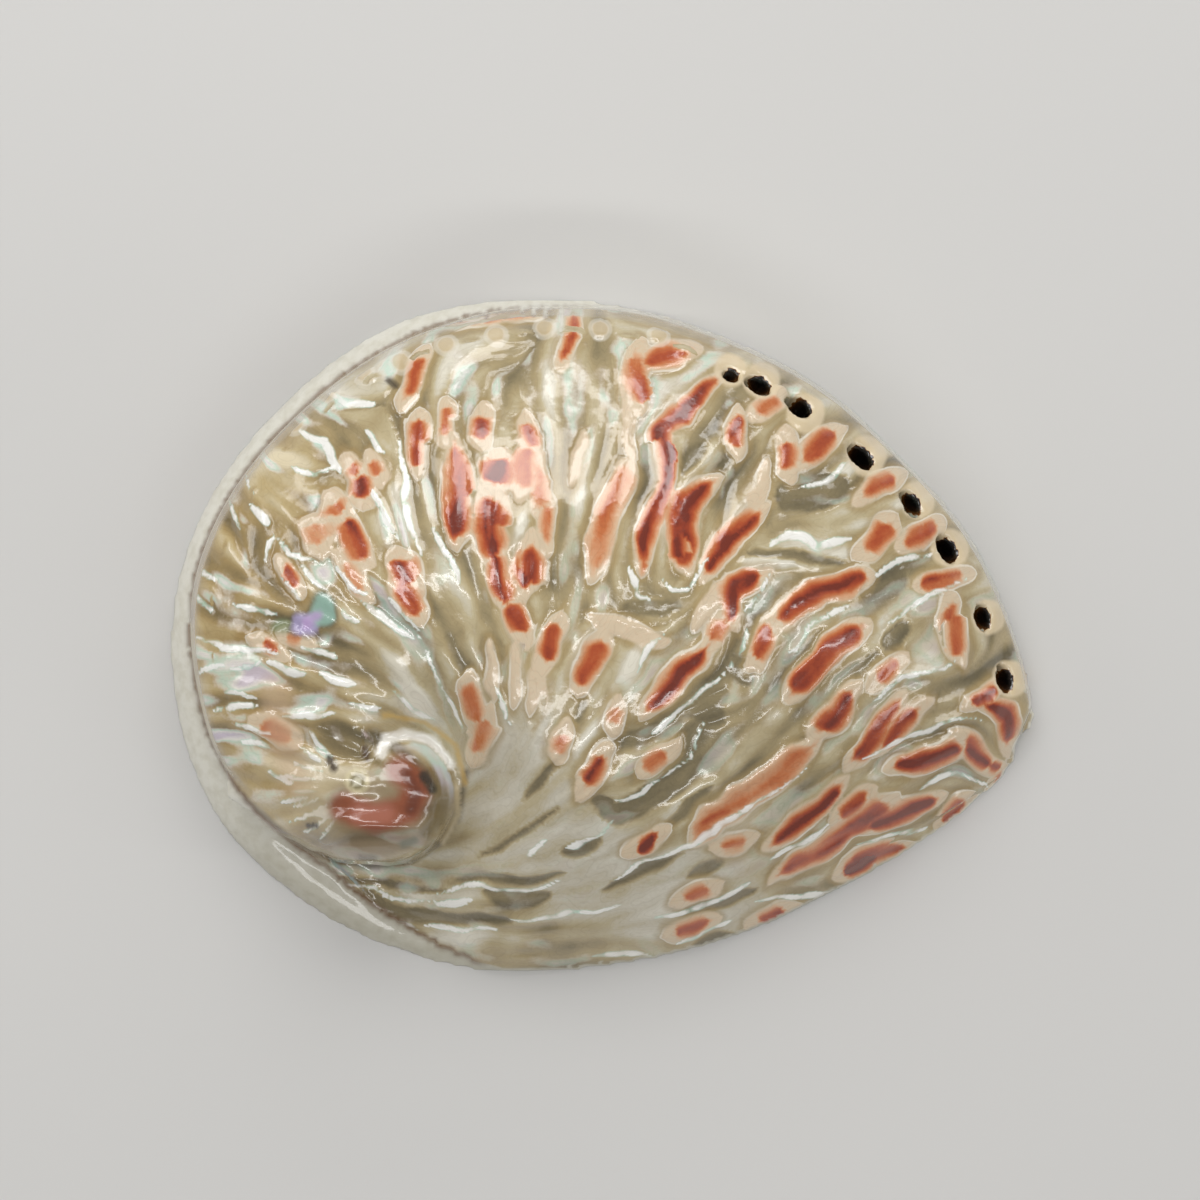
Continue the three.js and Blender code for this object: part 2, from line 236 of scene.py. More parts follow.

# %% [markdown]
# ## What the photograph shows
# The markings were read from the photograph, in its pixels. Flames are the rust-red marks,
# each with the strength of its colour, its half width and its axis. Pools are olive hollows between
# the lobes. Glints are the bright threads along the edges of pools, with their half width and their line.

# %% List the flames
FLAMES = [
    # along the top
    (0.95, 4, [(484, 316), (510, 312), (535, 309)]),
    (0.80, 3, [(455, 323), (475, 319)]),
    (0.90, 3.5, [(640, 314), (670, 321), (716, 338)]),
    (0.85, 4.5, [(570, 322), (568, 338), (567, 354)]),
    (0.80, 7, [(636, 362), (637, 380), (640, 399)]),
    (0.90, 7, [(650, 366), (665, 361), (682, 354)]),
    (0.92, 6, [(483, 419), (483, 431)]),
    (0.80, 4.5, [(447, 416), (447, 426)]),
    (0.82, 7, [(530, 427), (534, 441)]),
    (0.85, 8, [(527, 455), (523, 470), (521, 485)]),
    (0.90, 6, [(424, 360), (415, 377), (408, 394)]),
    (0.85, 6, [(419, 430), (418, 448)]),
    (0.93, 6, [(418, 450), (419, 464)]),
    # the middle
    (0.97, 9, [(457, 450), (459, 472), (460, 493), (459, 512), (459, 536)]),
    (1.00, 13, [(500, 468), (497, 480)]),
    (1.00, 13, [(494, 508), (490, 528), (495, 552)]),
    (0.93, 9, [(498, 560), (505, 593)]),
    (0.93, 9, [(512, 604), (522, 628)]),
    (0.92, 9.5, [(532, 552), (530, 580)]),
    (0.72, 6, [(540, 472), (541, 504)]),
    (0.75, 4, [(549, 512), (548, 535)]),
    (0.90, 7, [(557, 628), (550, 644), (548, 652)]),
    (0.70, 9, [(624, 477), (610, 512), (597, 564)]),
    (0.98, 7, [(713, 384), (694, 403), (687, 417), (671, 424), (661, 436), (664, 451), (669, 467),
               (667, 485), (659, 506), (650, 529), (643, 561)]),
    (1.00, 8, [(707, 488), (686, 502), (678, 519), (679, 540), (683, 560)]),
    (1.00, 8.5, [(749, 517), (730, 533), (719, 550), (707, 571)]),
    (0.98, 7, [(754, 577), (735, 584), (727, 597), (731, 613)]),
    (0.75, 7, [(722, 622), (712, 641)]),
    (0.97, 8, [(699, 655), (678, 673), (664, 690), (652, 704)]),
    (0.90, 7.5, [(599, 644), (586, 666), (581, 681)]),
    # the upper right
    (0.90, 5, [(738, 428), (737, 440)]),
    (0.88, 6, [(786, 450), (786, 464)]),
    (0.75, 8, [(775, 402), (765, 412)]),
    (0.88, 8, [(832, 437), (815, 448), (806, 455)]),
    (0.90, 6, [(887, 479), (872, 487), (865, 494)]),
    (0.85, 9, [(883, 530), (874, 540), (866, 548)]),
    (0.85, 7, [(930, 531), (910, 541)]),
    # the right
    (1.00, 10, [(859, 580), (836, 589), (818, 592), (798, 604), (784, 617)]),
    (0.92, 8, [(768, 634), (757, 655)]),
    (1.00, 10.5, [(853, 629), (833, 647), (812, 670), (796, 692)]),
    (0.88, 6, [(895, 664), (881, 677)]),
    (0.93, 7, [(849, 696), (836, 711), (821, 727)]),
    (0.98, 6.5, [(898, 705), (884, 720), (873, 735), (859, 754)]),
    (0.90, 5, [(915, 712), (901, 724), (887, 740)]),
    (0.92, 6, [(929, 584), (953, 580)]),
    (0.82, 7, [(949, 613), (952, 636), (956, 650)]),
    (0.92, 6, [(994, 689), (980, 700)]),
    (0.95, 7, [(996, 706), (1009, 715), (1009, 734)]),
    (0.92, 8, [(901, 766), (919, 762), (934, 754), (951, 748)]),
    (0.92, 7, [(967, 745), (983, 759)]),
    (0.85, 5, [(994, 764)]),
    # the lower right
    (1.00, 7, [(929, 802), (911, 808), (891, 816), (876, 823)]),
    (0.95, 7, [(885, 805), (868, 818), (848, 828)]),
    (0.85, 6, [(862, 800), (845, 813)]),
    (0.90, 5, [(1001, 781), (1009, 776)]),
    (0.92, 6.5, [(962, 806), (952, 817)]),
    (0.90, 6, [(900, 851), (878, 855), (859, 860)]),
    (0.98, 6, [(839, 786), (820, 803), (802, 817), (778, 838)]),
    (0.95, 7, [(862, 820), (831, 840), (808, 855), (786, 872)]),
    (0.97, 7, [(872, 860), (851, 870)]),
    (0.95, 6.5, [(762, 922), (782, 914)]),
    (0.82, 5, [(680, 931), (701, 924)]),
    (0.75, 5, [(690, 895), (705, 888)]),
    (0.72, 6, [(725, 843), (740, 839)]),
    (0.74, 10, [(805, 748), (775, 774), (738, 800), (712, 817), (698, 832)]),
    (0.82, 5, [(724, 810), (708, 820)]),
    (0.95, 5, [(640, 844), (650, 838)]),
    (0.80, 6, [(662, 753), (650, 765)]),
    (0.92, 6.5, [(601, 759), (588, 779)]),
    (0.72, 5, [(616, 712), (614, 720)]),
    (0.75, 5, [(562, 740), (560, 748)]),
    # the left
    (0.93, 9, [(404, 564), (412, 578)]),
    (0.93, 8, [(408, 590), (418, 608)]),
    (0.95, 8, [(350, 526), (356, 542), (362, 553)]),
    (0.93, 7, [(362, 480), (363, 492)]),
    (0.75, 6, [(354, 468)]),
    (0.72, 10, [(338, 507)]),
    (0.70, 14, [(321, 530), (322, 538)]),
    (0.88, 6, [(286, 573), (293, 582)]),
    (0.70, 6, [(349, 566), (366, 586)]),
    (0.85, 5, [(265, 646), (272, 650)]),
    (0.70, 6, [(299, 640)]),
    (0.75, 5, [(379, 470)]),
    (0.80, 7, [(268, 726), (285, 735)]),
    (0.72, 8, [(474, 690), (476, 712)]),
    (0.68, 7, [(488, 725), (480, 745)]),
]
print("flames:", len(FLAMES))

# %% List the pools
POOLS = [
    # beside and below the spire
    (9, [(601, 798), (617, 814), (644, 802), (675, 786), (695, 767)]),
    (4, [(456, 884), (481, 880), (522, 880), (554, 873)]),
    (7, [(491, 896), (511, 900), (542, 896)]),
    (4, [(526, 794), (542, 777), (562, 759)]),
    (4, [(583, 704), (579, 716)]),
    (2.5, [(489, 851), (517, 833), (554, 810)]),
    (5, [(568, 851), (595, 841)]),
    (4, [(609, 884), (644, 869), (675, 857)]),
    (4, [(695, 873), (715, 861)]),
    (5, [(685, 912), (726, 900), (752, 888)]),
    (5, [(705, 943), (730, 939)]),
    (4, [(440, 916), (481, 920), (507, 922)]),
    (6, [(630, 737), (644, 741), (660, 726), (685, 712)]),
    (10, [(697, 712), (711, 718)]),
    (5, [(668, 826), (685, 810), (703, 792)]),
    (3, [(280, 862), (323, 875), (377, 887), (441, 892)]),
    (6, [(339, 890), (390, 913), (466, 920)]),
    # the right half
    (14, [(778, 497), (840, 487)]),
    (11, [(872, 588), (898, 574)]),
    (4, [(748, 554), (772, 554), (834, 561)]),
    (6, [(631, 610), (670, 608)]),
    (8, [(734, 665), (745, 677)]),
    (8, [(691, 715), (720, 693)]),
    (4, [(790, 656), (816, 636)]),
    (8, [(888, 642), (898, 629)]),
    (4, [(843, 679), (870, 658)]),
    (7, [(691, 467), (700, 454)]),
    (3, [(720, 526), (734, 490)]),
]
print("pools:", len(POOLS))

# %% List the glints
# Each glint is a low ridge that catches the lights, with a painted highlight along it.
GLINTS = [
    # the right half
    (2.5, [(878, 571), (901, 559), (934, 552)]),
    (3, [(888, 619), (911, 606), (929, 597), (957, 585)]),
    (2.5, [(878, 696), (904, 677), (929, 675), (947, 666)]),
    (2.5, [(868, 753), (911, 731), (936, 726), (962, 720), (980, 722)]),
    (2.5, [(920, 788), (936, 777), (955, 771), (984, 782)]),
    (2.5, [(863, 845), (897, 835), (927, 828)]),
    (2, [(619, 800), (640, 796), (664, 781), (689, 759), (699, 728)]),
    (2, [(654, 732), (687, 703), (722, 669)]),
    (3, [(611, 880), (636, 865), (675, 851), (705, 832), (746, 808), (801, 769)]),
    (2.5, [(775, 856), (824, 826)]),
    (3, [(660, 916), (695, 910), (721, 896), (746, 882)]),
    (2.5, [(762, 898), (811, 898), (845, 890)]),
    (6, [(772, 543), (790, 536), (815, 546), (843, 540)]),
    (2.5, [(797, 486), (825, 482), (843, 466)]),
    (2, [(706, 560), (688, 590), (672, 592), (666, 578)]),
    (2, [(746, 608), (766, 580)]),
    (2.5, [(733, 660), (744, 632)]),
    (2, [(790, 645), (810, 625), (850, 604)]),
    (2.5, [(630, 570), (636, 598), (645, 600)]),
    (3, [(640, 668), (648, 650), (660, 640)]),
    # beside and below the spire
    (2, [(440, 894), (466, 888), (497, 891), (532, 888), (554, 882)]),
    (2, [(517, 920), (554, 914), (595, 912), (613, 904)]),
    (4, [(440, 904), (470, 901)]),
    (3, [(572, 845), (597, 835), (613, 820)]),
    (3, [(528, 851), (542, 843)]),
    (3, [(597, 959), (623, 955), (654, 959)]),
    (2.5, [(681, 941), (705, 933), (727, 922)]),
    (3, [(303, 869), (331, 885)]),
    (1.5, [(339, 882), (390, 900), (430, 901)]),
    (2.5, [(339, 897), (382, 918), (415, 928)]),
    (2, [(425, 925), (492, 931)]),
    # the left
    (4, [(401, 446), (405, 487), (412, 523), (421, 558)]),
    (4, [(435, 532), (448, 558), (458, 582)]),
    (2.5, [(335, 564), (351, 582), (373, 594)]),
    (4, [(339, 607), (362, 619)]),
    (4.5, [(366, 600), (385, 617), (408, 637)]),
    (3.5, [(309, 569), (332, 587)]),
    (2, [(280, 580), (306, 603)]),
    (3, [(241, 605), (271, 614)]),
    (3, [(198, 639), (239, 646), (276, 655)]),
    (3, [(310, 650), (334, 657)]),
    (3, [(230, 501), (241, 525)]),
    (2, [(246, 475), (253, 491)]),
    (3, [(200, 566), (217, 578)]),
    (3.5, [(196, 596), (212, 610)]),
    (2.5, [(280, 541), (294, 560), (314, 560)]),
    (2, [(275, 532), (266, 558)]),
    (5, [(305, 432), (326, 442), (339, 467)]),
    (2.5, [(291, 466), (319, 473), (334, 466)]),
    (4, [(375, 494), (392, 533)]),
    (2.5, [(396, 601), (416, 625)]),
    (5, [(340, 398), (352, 404), (372, 402)]),
    (3, [(368, 432), (386, 452)]),
    (4, [(254, 505), (268, 518)]),
    (3.5, [(275, 665), (300, 675)]),
    (4, [(323, 673), (354, 683)]),
    (2.5, [(397, 691), (430, 714)]),
    (3, [(359, 705), (379, 706)]),
    (3, [(287, 716), (336, 711)]),
    (3, [(239, 724), (270, 732)]),
    (3.5, [(219, 709), (254, 706)]),
    (3, [(229, 691), (259, 696)]),
    (3.5, [(234, 668), (262, 665)]),
    (3, [(198, 670), (216, 665)]),
    (3, [(249, 744), (267, 747)]),
    (3, [(275, 772), (293, 780)]),
    (3, [(287, 800), (308, 795)]),
    (4, [(321, 813), (344, 816)]),
    (1.5, [(420, 640), (446, 690), (462, 730)]),
    (2, [(500, 690), (512, 720)]),
]
# Short glints round the spire, like saw teeth: low ridges with painted highlights.
TEETH = 9
SPIRE_APEX = (365, 785)
for tooth in range(TEETH):
    angle = math.radians(128 + 12 * tooth)
    root, tip = 46 + 5 * (tooth % 2), 66 + 6 * (tooth % 3)
    GLINTS.append((2, [(SPIRE_APEX[0] + r * math.cos(angle), SPIRE_APEX[1] + r * math.sin(angle))
                       for r in (root, tip)]))
print("glints:", len(GLINTS))

# %% [markdown]
# ## Growth lines
# Everything on the back follows the growth lines, which start at the spire and sweep round to the
# right. The flames and glints already say which way the lines run, so a coarse map of directions
# is worked out from them. A direction has no front or back: as a squared complex number, both
# ways are the same number, and nearby directions can be averaged.

# %% Map the directions
MAP_STEP = 10
MAP_SOFTNESS = 14.0
LONG_ENOUGH = 14

across = np.arange(0, PHOTO_SIZE + 2 * MAP_STEP, MAP_STEP)
map_x, map_y = np.meshgrid(across, across, indexing="ij")
directions = np.zeros(map_x.shape, complex)
for path in [row[-1] for row in FLAMES + POOLS + GLINTS]:
    for (ax, ay), (bx, by) in zip(path, path[1:]):
        step = complex(bx - ax, ay - by)
        if abs(step) < LONG_ENOUGH:
            continue
        apart = np.hypot(map_x - (ax + bx) / 2, map_y - (ay + by) / 2)
        directions += abs(step) * (step / abs(step)) ** 2 / (apart ** 2 + MAP_SOFTNESS ** 2) ** 2
directions /= np.abs(directions)


def between(table, x, y):
    """A value between the points of the coarse map."""
    column = np.clip(x / MAP_STEP, 0, len(across) - 1.001)
    row = np.clip(y / MAP_STEP, 0, len(across) - 1.001)
    i, j = column.astype(int), row.astype(int)
    u, v = column - i, row - j
    near = table[i, j] * (1 - u) + table[i + 1, j] * u
    far = table[i, j + 1] * (1 - u) + table[i + 1, j + 1] * u
    return near * (1 - v) + far * v


def heading(x, y):
    """The direction of the growth line at each pixel, as a complex number of length 1."""
    found = np.sqrt(between(directions, x, y))
    return found / (np.abs(found) + 1e-9)


print("direction map:", directions.shape)

# %% Follow the lines
TRACE_STEP = 4.5
TRACE_STEPS = 9


def follow(sign):
    """The pixels met while following the growth lines one way from each vertex."""
    x, y = pixel_x, pixel_y
    before = heading(x, y) * sign
    met = []
    for _ in range(TRACE_STEPS):
        ahead = heading(x, y)
        ahead = np.where((ahead * np.conj(before)).real < 0, -ahead, ahead)
        x = x + TRACE_STEP * ahead.real
        y = y - TRACE_STEP * ahead.imag
        met.append((x, y))
        before = ahead
    return met


trace = [list(pair) for pair in zip(follow(1), follow(-1))]
print("traced", 2 * TRACE_STEPS, "steps from each vertex")

# %% Make seeded noise
LATTICE = 211


def cloud(x, y, size, seed):
    """Soft noise over the photograph, from -1 to 1, with blobs of a given size in pixels."""
    lattice = np.random.default_rng(seed).uniform(-1, 1, (LATTICE, LATTICE))
    u = (0.8 * x + 0.6 * y) / size
    v = (0.8 * y - 0.6 * x) / size
    i, j = np.floor(u).astype(int), np.floor(v).astype(int)
    u, v = smoothstep(0, 1, u - i), smoothstep(0, 1, v - j)

    def corner(right, up):
        return lattice[(i + right) % LATTICE, (j + up) % LATTICE]

    near = corner(0, 0) * (1 - u) + corner(1, 0) * u
    far = corner(0, 1) * (1 - u) + corner(1, 1) * u
    return near * (1 - v) + far * v


def streaks(size, steps, seed):
    """Noise drawn out along the growth lines, with a mean of 0 and a spread of 1."""
    total = cloud(pixel_x, pixel_y, size, seed)
    for pair in trace[:steps]:
        for x, y in pair:
            total = total + cloud(x, y, size, seed)
    return (total - total.mean()) / total.std()


def path_distance(points, x, y):
    """The distance in pixels from each vertex to a path of straight stretches."""
    nearest = np.full(len(x), np.inf)
    stretches = list(zip(points, points[1:])) or [(points[0], points[0])]
    for (ax, ay), (bx, by) in stretches:
        dx, dy = bx - ax, by - ay
        share = np.clip(((x - ax) * dx + (y - ay) * dy) / (dx * dx + dy * dy + 1e-9), 0, 1)
        nearest = np.minimum(nearest, np.hypot(x - ax - share * dx, y - ay - share * dy))
    return nearest


def near(points, half_width, softness):
    """1 on a path and 0 away from it, with a soft edge."""
    return 1 - smoothstep(half_width - softness / 2, half_width + softness / 2,
                          path_distance(points, pixel_x, pixel_y))


broad = streaks(15, 9, 21)
medium = streaks(9, 6, 22)
narrow = streaks(5, 5, 23)
print("streaks:", [round(float(f.std()), 2) for f in (broad, medium, narrow)])


# %% Shape spindles
def spindle(axis, tail):
    """The distance to an axis drawn out at both ends, the place along it (1 at the tips) and its length."""
    points = [complex(*point) for point in axis]
    if len(points) == 1:
        lean = np.conj(heading(np.array([axis[0][0]]), np.array([axis[0][1]])))[0]
        points = [points[0] - lean, points[0] + lean]
    first, last = points[1] - points[0], points[-1] - points[-2]
    points = [points[0] - tail * first / abs(first)] + points + [points[-1] + tail * last / abs(last)]
    nearest, along, length = np.full(len(warped), np.inf), np.zeros(len(warped)), 0
    for a, b in zip(points, points[1:]):
        share = np.clip(((warped - a) * np.conj(b - a)).real / abs(b - a) ** 2, 0, 1)
        apart = np.abs(warped - a - share * (b - a))
        along = np.where(apart < nearest, length + share * abs(b - a), along)
        nearest = np.minimum(nearest, apart)
        length += abs(b - a)
    return nearest, np.abs(2 * along / length - 1), length


def taper(ends, bluntness):
    """The width of a spindle: 1 in the middle and 0 at its tips."""
    return (1 - np.clip(ends, 0, 1) ** bluntness) ** 0.65


flow = np.conj(heading(pixel_x, pixel_y))
warped = pixel_x + 1j * pixel_y + flow * (6.0 * cloud(pixel_x, pixel_y, 22, 11)
                                         + 1j * (4.0 * cloud(pixel_x, pixel_y, 38, 12)
                                                 + 2.2 * cloud(pixel_x, pixel_y, 16, 13)))
print("warped by up to", round(float(np.abs(warped - pixel_x - 1j * pixel_y).max()), 1), "pixels")

# %% [markdown]
# ## Fields for the markings
# Each flame lies in a pale lobe, drawn out along the growth line like a spindle. One field says how red
# a place is, one how far it is from the edge of a lobe, one how deep it lies in a pool, and one how
# light the ground between them is. Paint and relief use the same fields, so colour and shape agree.

# %% Lay the markings
LOBE_TAIL = 20
LOBE_MARGIN = 5.5
FLAME_TAIL = 5
FAN_PATH = [(505, 750), (520, 830), (640, 890), (720, 905)]
KNOBS = [(658, 338), (600, 330), (545, 330), (497, 337), (447, 346), (402, 363), (365, 375), (330, 395),
         (295, 424)]
KNOB_RADIUS = 12
LOBES = [
    (5, [(493, 663), (496, 687)]),
    (6, [(517, 663), (517, 692)]),
    (8, [(628, 388), (631, 445)]),
    (6, [(579, 450), (576, 469)]),
    (11, [(610, 622), (650, 640)]),
    (7, [(759, 478), (752, 500)]),
    (8, [(540, 660), (536, 700)]),
    (7, [(700, 620), (712, 600)]),
]

redness = np.zeros(len(place))
lobe = np.full(len(place), 99.0)
for strength, half_width, axis in FLAMES:
    apart, ends, length = spindle(axis, LOBE_TAIL)
    lobe = np.minimum(lobe, apart - (half_width + LOBE_MARGIN) * taper(ends, 3))
    inner = ends * length / (length - 2 * (LOBE_TAIL - FLAME_TAIL))
    depth = apart / (half_width * taper(inner, 4) + 2.0)
    fire = (1 - smoothstep(0.15, 1.6, depth)) * (1 - smoothstep(0.8, 1.2, inner))
    redness = np.maximum(redness, (2 * strength - 1) * fire)
for half_width, axis in LOBES:
    apart, ends, length = spindle(axis, LOBE_TAIL)
    lobe = np.minimum(lobe, apart - half_width * taper(ends, 3))
redness *= 1 + 0.10 * medium + 0.10 * narrow
pool = np.full(len(place), 99.0)
for half_width, axis in POOLS:
    apart, ends, length = spindle(axis, 10)
    pool = np.minimum(pool, apart - 1.4 * half_width * taper(ends, 2.5))
# The glints as one field: it raises their ridges and places their painted highlights.
thread = np.zeros(len(place))
for half_width, line in GLINTS:
    apart, ends, length = spindle(line, 6)
    thread = np.maximum(thread, 1 - smoothstep(0.2, 1.2, apart / ((half_width + 1) * taper(ends, 2.5) + 0.3)))
thread *= 0.75 + 0.35 * cloud(pixel_x, pixel_y, 9, 14)

fan = near(FAN_PATH, 62, 60)
in_pool = 1 - smoothstep(-2.5, 2.0, pool)
# Just outside each lobe the ground is darker: painted shade beside the raised lobes.
tone = 0.55 + 0.17 * broad + 0.08 * medium - 0.10 * np.exp(-((lobe - 5) / 4) ** 2)
tone = tone * (1 - fan) + (0.82 + 0.06 * medium) * fan
tone = tone * (1 - in_pool) + (0.22 + 0.05 * medium) * in_pool
level_ground = smoothstep(0.05, 0.40, normal[:, 2])
wide_bands = cloud(3 * turn, 14 * place[:, 2], 16, 51)
thin_bands = cloud(6 * turn, 30 * place[:, 2], 16, 52)
bands = 0.62 + 0.14 * wide_bands + 0.08 * thin_bands
tone = tone * level_ground + bands * (1 - level_ground)
redness *= level_ground
lobe += 25 * (1 - level_ground)
thread *= level_ground * (1 - near([(297, 624), (325, 612)], 20, 8))
print("share of red:", round(float((redness > 0.4).mean()), 3))

# %% [markdown]
# ## Zones
# Some stretches have a finish of their own: the ledge of the inner lip outside the crease, the spire,
# the pores and the nacre in the hollow. The pore walls are brown at the rim and painted shade deeper in.
# The ledge is measured from the outline, by direction from the crest.

# %% Mark the ledge
LEDGE_WIDTH = [(70, 0.5), (95, 1.6), (126, 3.5), (180, 3.2), (205, 5.0), (219, 6.8), (232, 8.0),
               (246, 5.0), (262, 0.5)]
BINS = 720

bins = (turn * BINS / 360).astype(int) % BINS
outline = np.zeros(BINS)
np.maximum.at(outline, bins, reach)
inset = np.interp(turn, np.arange(BINS) * 360 / BINS, outline, period=360) - reach
ledge_width = np.interp(turn, *zip(*LEDGE_WIDTH), period=360)
ledge = (1 - smoothstep(-0.25, 0.25, inset - ledge_width)) * outside
ledge_line = np.exp(-((inset - ledge_width) / 0.55) ** 2) * smoothstep(0.8, 2.0, ledge_width) * outside
print("ledge vertices:", int((ledge > 0.5).sum()))

# %% Mark the pores
inward = -(normal[:, :2] * from_crest).sum(1) / reach
# The pore walls that the camera sees, and how deep they lie, for their painted shade.
pore_depth = np.full(len(place), -1.0)
pore_rim = np.full(len(place), np.inf)
for x, y, radius in PORES:
    apart = np.hypot(pixel_x - x, pixel_y - y)
    pore_rim = np.minimum(pore_rim, apart - radius)
    within = (1.2 * radius - apart) * MM_PER_PIXEL
    wall = (within > 0) & ((inward > 0.12) | (facing < 0.2))
    pore_depth = np.where(wall, 0.2 + 0.9 * within, pore_depth)
print("pore wall vertices:", int((pore_depth > 0.3).sum()))

# %% [markdown]
# ## Relief
# Grinding leaves the hard lobes a little proud of the pools, with steep edges that catch the light.
# The even pleats are smoothed away first. Then each vertex moves along its normal by a height
# that follows the field of markings.

# %% Smooth the pleats away
PLEAT_PASSES = 106
EDGE_PASSES = 4
CREASE = [(381, 751), (411, 730), (450, 745), (466, 772), (464, 783), (457, 818), (441, 841),
          (411, 861), (370, 867),
          (331, 861), (299, 847), (246, 802), (227, 779), (209, 744), (195, 710)]
SPIRE_MIDDLE = [(330, 790), (410, 790)]

crease = path_distance(CREASE, pixel_x, pixel_y)
spire = path_distance(SPIRE_MIDDLE, pixel_x, pixel_y)
plain_back = (facing > 0.3) & (crease > 20) & (spire > 60) & (pore_rim > 7) & (inset > ledge_width + 2)
form = bmesh.new()
form.from_mesh(shell.data)
form.verts.ensure_lookup_table()
back = [form.verts[i] for i in np.flatnonzero(plain_back)]
seen = [form.verts[i] for i in np.flatnonzero(facing > -0.2)]
for verts, passes in [(back, PLEAT_PASSES), (seen, EDGE_PASSES)]:
    for _ in range(passes):
        bmesh.ops.smooth_vert(form, verts=verts, factor=0.5,
                              use_axis_x=True, use_axis_y=True, use_axis_z=True)
form.to_mesh(shell.data)
form.free()
shell.data.update()
print("smoothed vertices:", len(back))

# %% Raise the relief
LOBE_HEIGHT = 0.30
POOL_DEPTH = 0.25
FOLD_HEIGHT = 0.22
RIPPLE_HEIGHT = 0.05
GLINT_HEIGHT = 0.25
KNOB_HEIGHT = 0.4

knob = np.min([np.hypot(pixel_x - x, pixel_y - y) for x, y in KNOBS], 0) / KNOB_RADIUS
knob += 5 * (1 - level_ground)
in_lobe = 1 - smoothstep(-3, 2, lobe)
height = LOBE_HEIGHT * in_lobe - POOL_DEPTH * in_pool + GLINT_HEIGHT * thread
height += FOLD_HEIGHT * broad * (1 - in_lobe) * (1 - fan) + RIPPLE_HEIGHT * narrow
height += KNOB_HEIGHT * (1 - smoothstep(0.4, 1.1, knob))
calm = smoothstep(0.1, 0.4, facing) * smoothstep(1.0, 3.0, inset - ledge_width) * smoothstep(0, 5, pore_rim)
calm *= smoothstep(3, 12, crease)
moved = read(shell.data, "co") + read(shell.data, "normal") * (height * calm * MM)[:, None]
shell.data.vertices.foreach_set("co", moved.ravel())
shell.data.polygons.foreach_set("use_smooth", np.ones(len(shell.data.polygons), bool))
shell.data.update()
print("relief up to", round(float((height * calm).max()), 2), "mm")

# %% [markdown]
# ## Touches of colour
# Some marks are strokes of one soft colour: the red-brown heart of the spire with its white crescent,
# the blue pearl spot on the left, and painted shade: a dark line along the spire's crease and dark dots
# for pits. They are laid on one after the other, as with a brush.

# %% Lay the touches
def linear(red, green, blue):
    """A colour given from 0 to 255, as light."""
    return tuple(((v / 255 + 0.055) / 1.055) ** 2.4 for v in (red, green, blue))


TOUCHES = [  # colour, share, half width, softness, line
    ((214, 184, 152), 0.5, 15, 20, [(276, 690), (284, 740), (303, 786)]),
    ((196, 180, 146), 0.7, 30, 30, [(330, 800), (390, 800)]),
    ((104, 82, 54), 0.6, 36, 30, [(368, 812), (420, 800)]),
    # Painted shade: a dark line along the spire's crease.
    ((84, 72, 48), 0.8, 3.5, 7, CREASE[3:]),
    ((150, 130, 102), 0.7, 8, 10, [(326, 850), (375, 850), (426, 836)]),
    ((138, 66, 36), 0.9, 15, 14, [(346, 806), (377, 818), (409, 808), (420, 784), (402, 768)]),
    ((168, 104, 84), 0.8, 10, 14, [(362, 812), (386, 812)]),
    ((92, 42, 24), 0.7, 6, 9, [(408, 772), (418, 790), (412, 808)]),
    ((112, 96, 62), 0.8, 7, 9, [(437, 770), (444, 796), (441, 816), (428, 830)]),
    ((44, 42, 32), 0.9, 5, 5, [(426, 774), (434, 788)]),
    ((96, 82, 58), 0.8, 4, 6, [(362, 857), (374, 858)]),
    ((108, 112, 92), 0.8, 4, 6, [(405, 844), (416, 840)]),
    ((204, 170, 100), 0.8, 2.5, 4, [(385, 714), (426, 720), (457, 745), (466, 784)]),
    ((206, 188, 150), 0.8, 3, 4, [(457, 785), (458, 815), (443, 842)]),
    ((248, 244, 234), 0.95, 5.5, 5, [(382, 752), (388, 739), (406, 733), (432, 740), (450, 763)]),
    ((214, 202, 164), 0.9, 12, 5, [(359, 780)]),
    ((116, 104, 66), 0.9, 8, 4, [(359, 780)]),
    ((214, 208, 184), 0.95, 4.5, 4, [(359, 780)]),
    # Painted shade: dark dots for small pits that the skin has no hollows for.
    ((60, 44, 30), 0.9, 4, 4, [(331, 758), (336, 767)]),
    ((80, 56, 36), 0.9, 3, 3, [(367, 748), (368, 757)]),
    ((50, 40, 30), 0.9, 3, 3, [(308, 826), (316, 825)]),
    ((70, 60, 46), 0.9, 3.5, 4, [(391, 382), (396, 386)]),
    ((126, 140, 104), 0.8, 7, 8, [(280, 626), (290, 626)]),
    ((84, 78, 58), 0.7, 13, 6, [(301, 624), (310, 625)]),
    ((84, 78, 58), 0.7, 15, 6, [(325, 606), (324, 614)]),
    ((176, 164, 200), 0.95, 10, 6, [(301, 624), (312, 624)]),
    ((150, 184, 168), 0.95, 12, 6, [(325, 606), (324, 614)]),
    ((190, 160, 206), 0.8, 5, 6, [(308, 624), (318, 616)]),
]

touch = np.zeros((len(place), 4))
for colour, share, half_width, softness, line in TOUCHES:
    cover = (share * near(line, half_width, softness) * outside)[:, None]
    touch[:, :3] = touch[:, :3] * (1 - cover) + np.array(linear(*colour)) * cover
    touch[:, 3:] = touch[:, 3:] * (1 - cover) + cover
print("touched vertices:", int((touch[:, 3] > 0.5).sum()))

# %% [markdown]
# ## Paint
# The material reads the fields from the mesh as attributes. A colour ramp cuts the field of markings
# at its levels, so that each edge stays crisp between vertices.


# %% Store the fields
def store(name, values, kind="FLOAT"):
    """Keeps one value of each vertex on the mesh."""
    layer = shell.data.attributes.new(name, kind, "POINT")
    key = {"FLOAT": "value", "FLOAT_COLOR": "color"}[kind]
    layer.data.foreach_set(key, np.ascontiguousarray(values, dtype=np.float32).ravel())


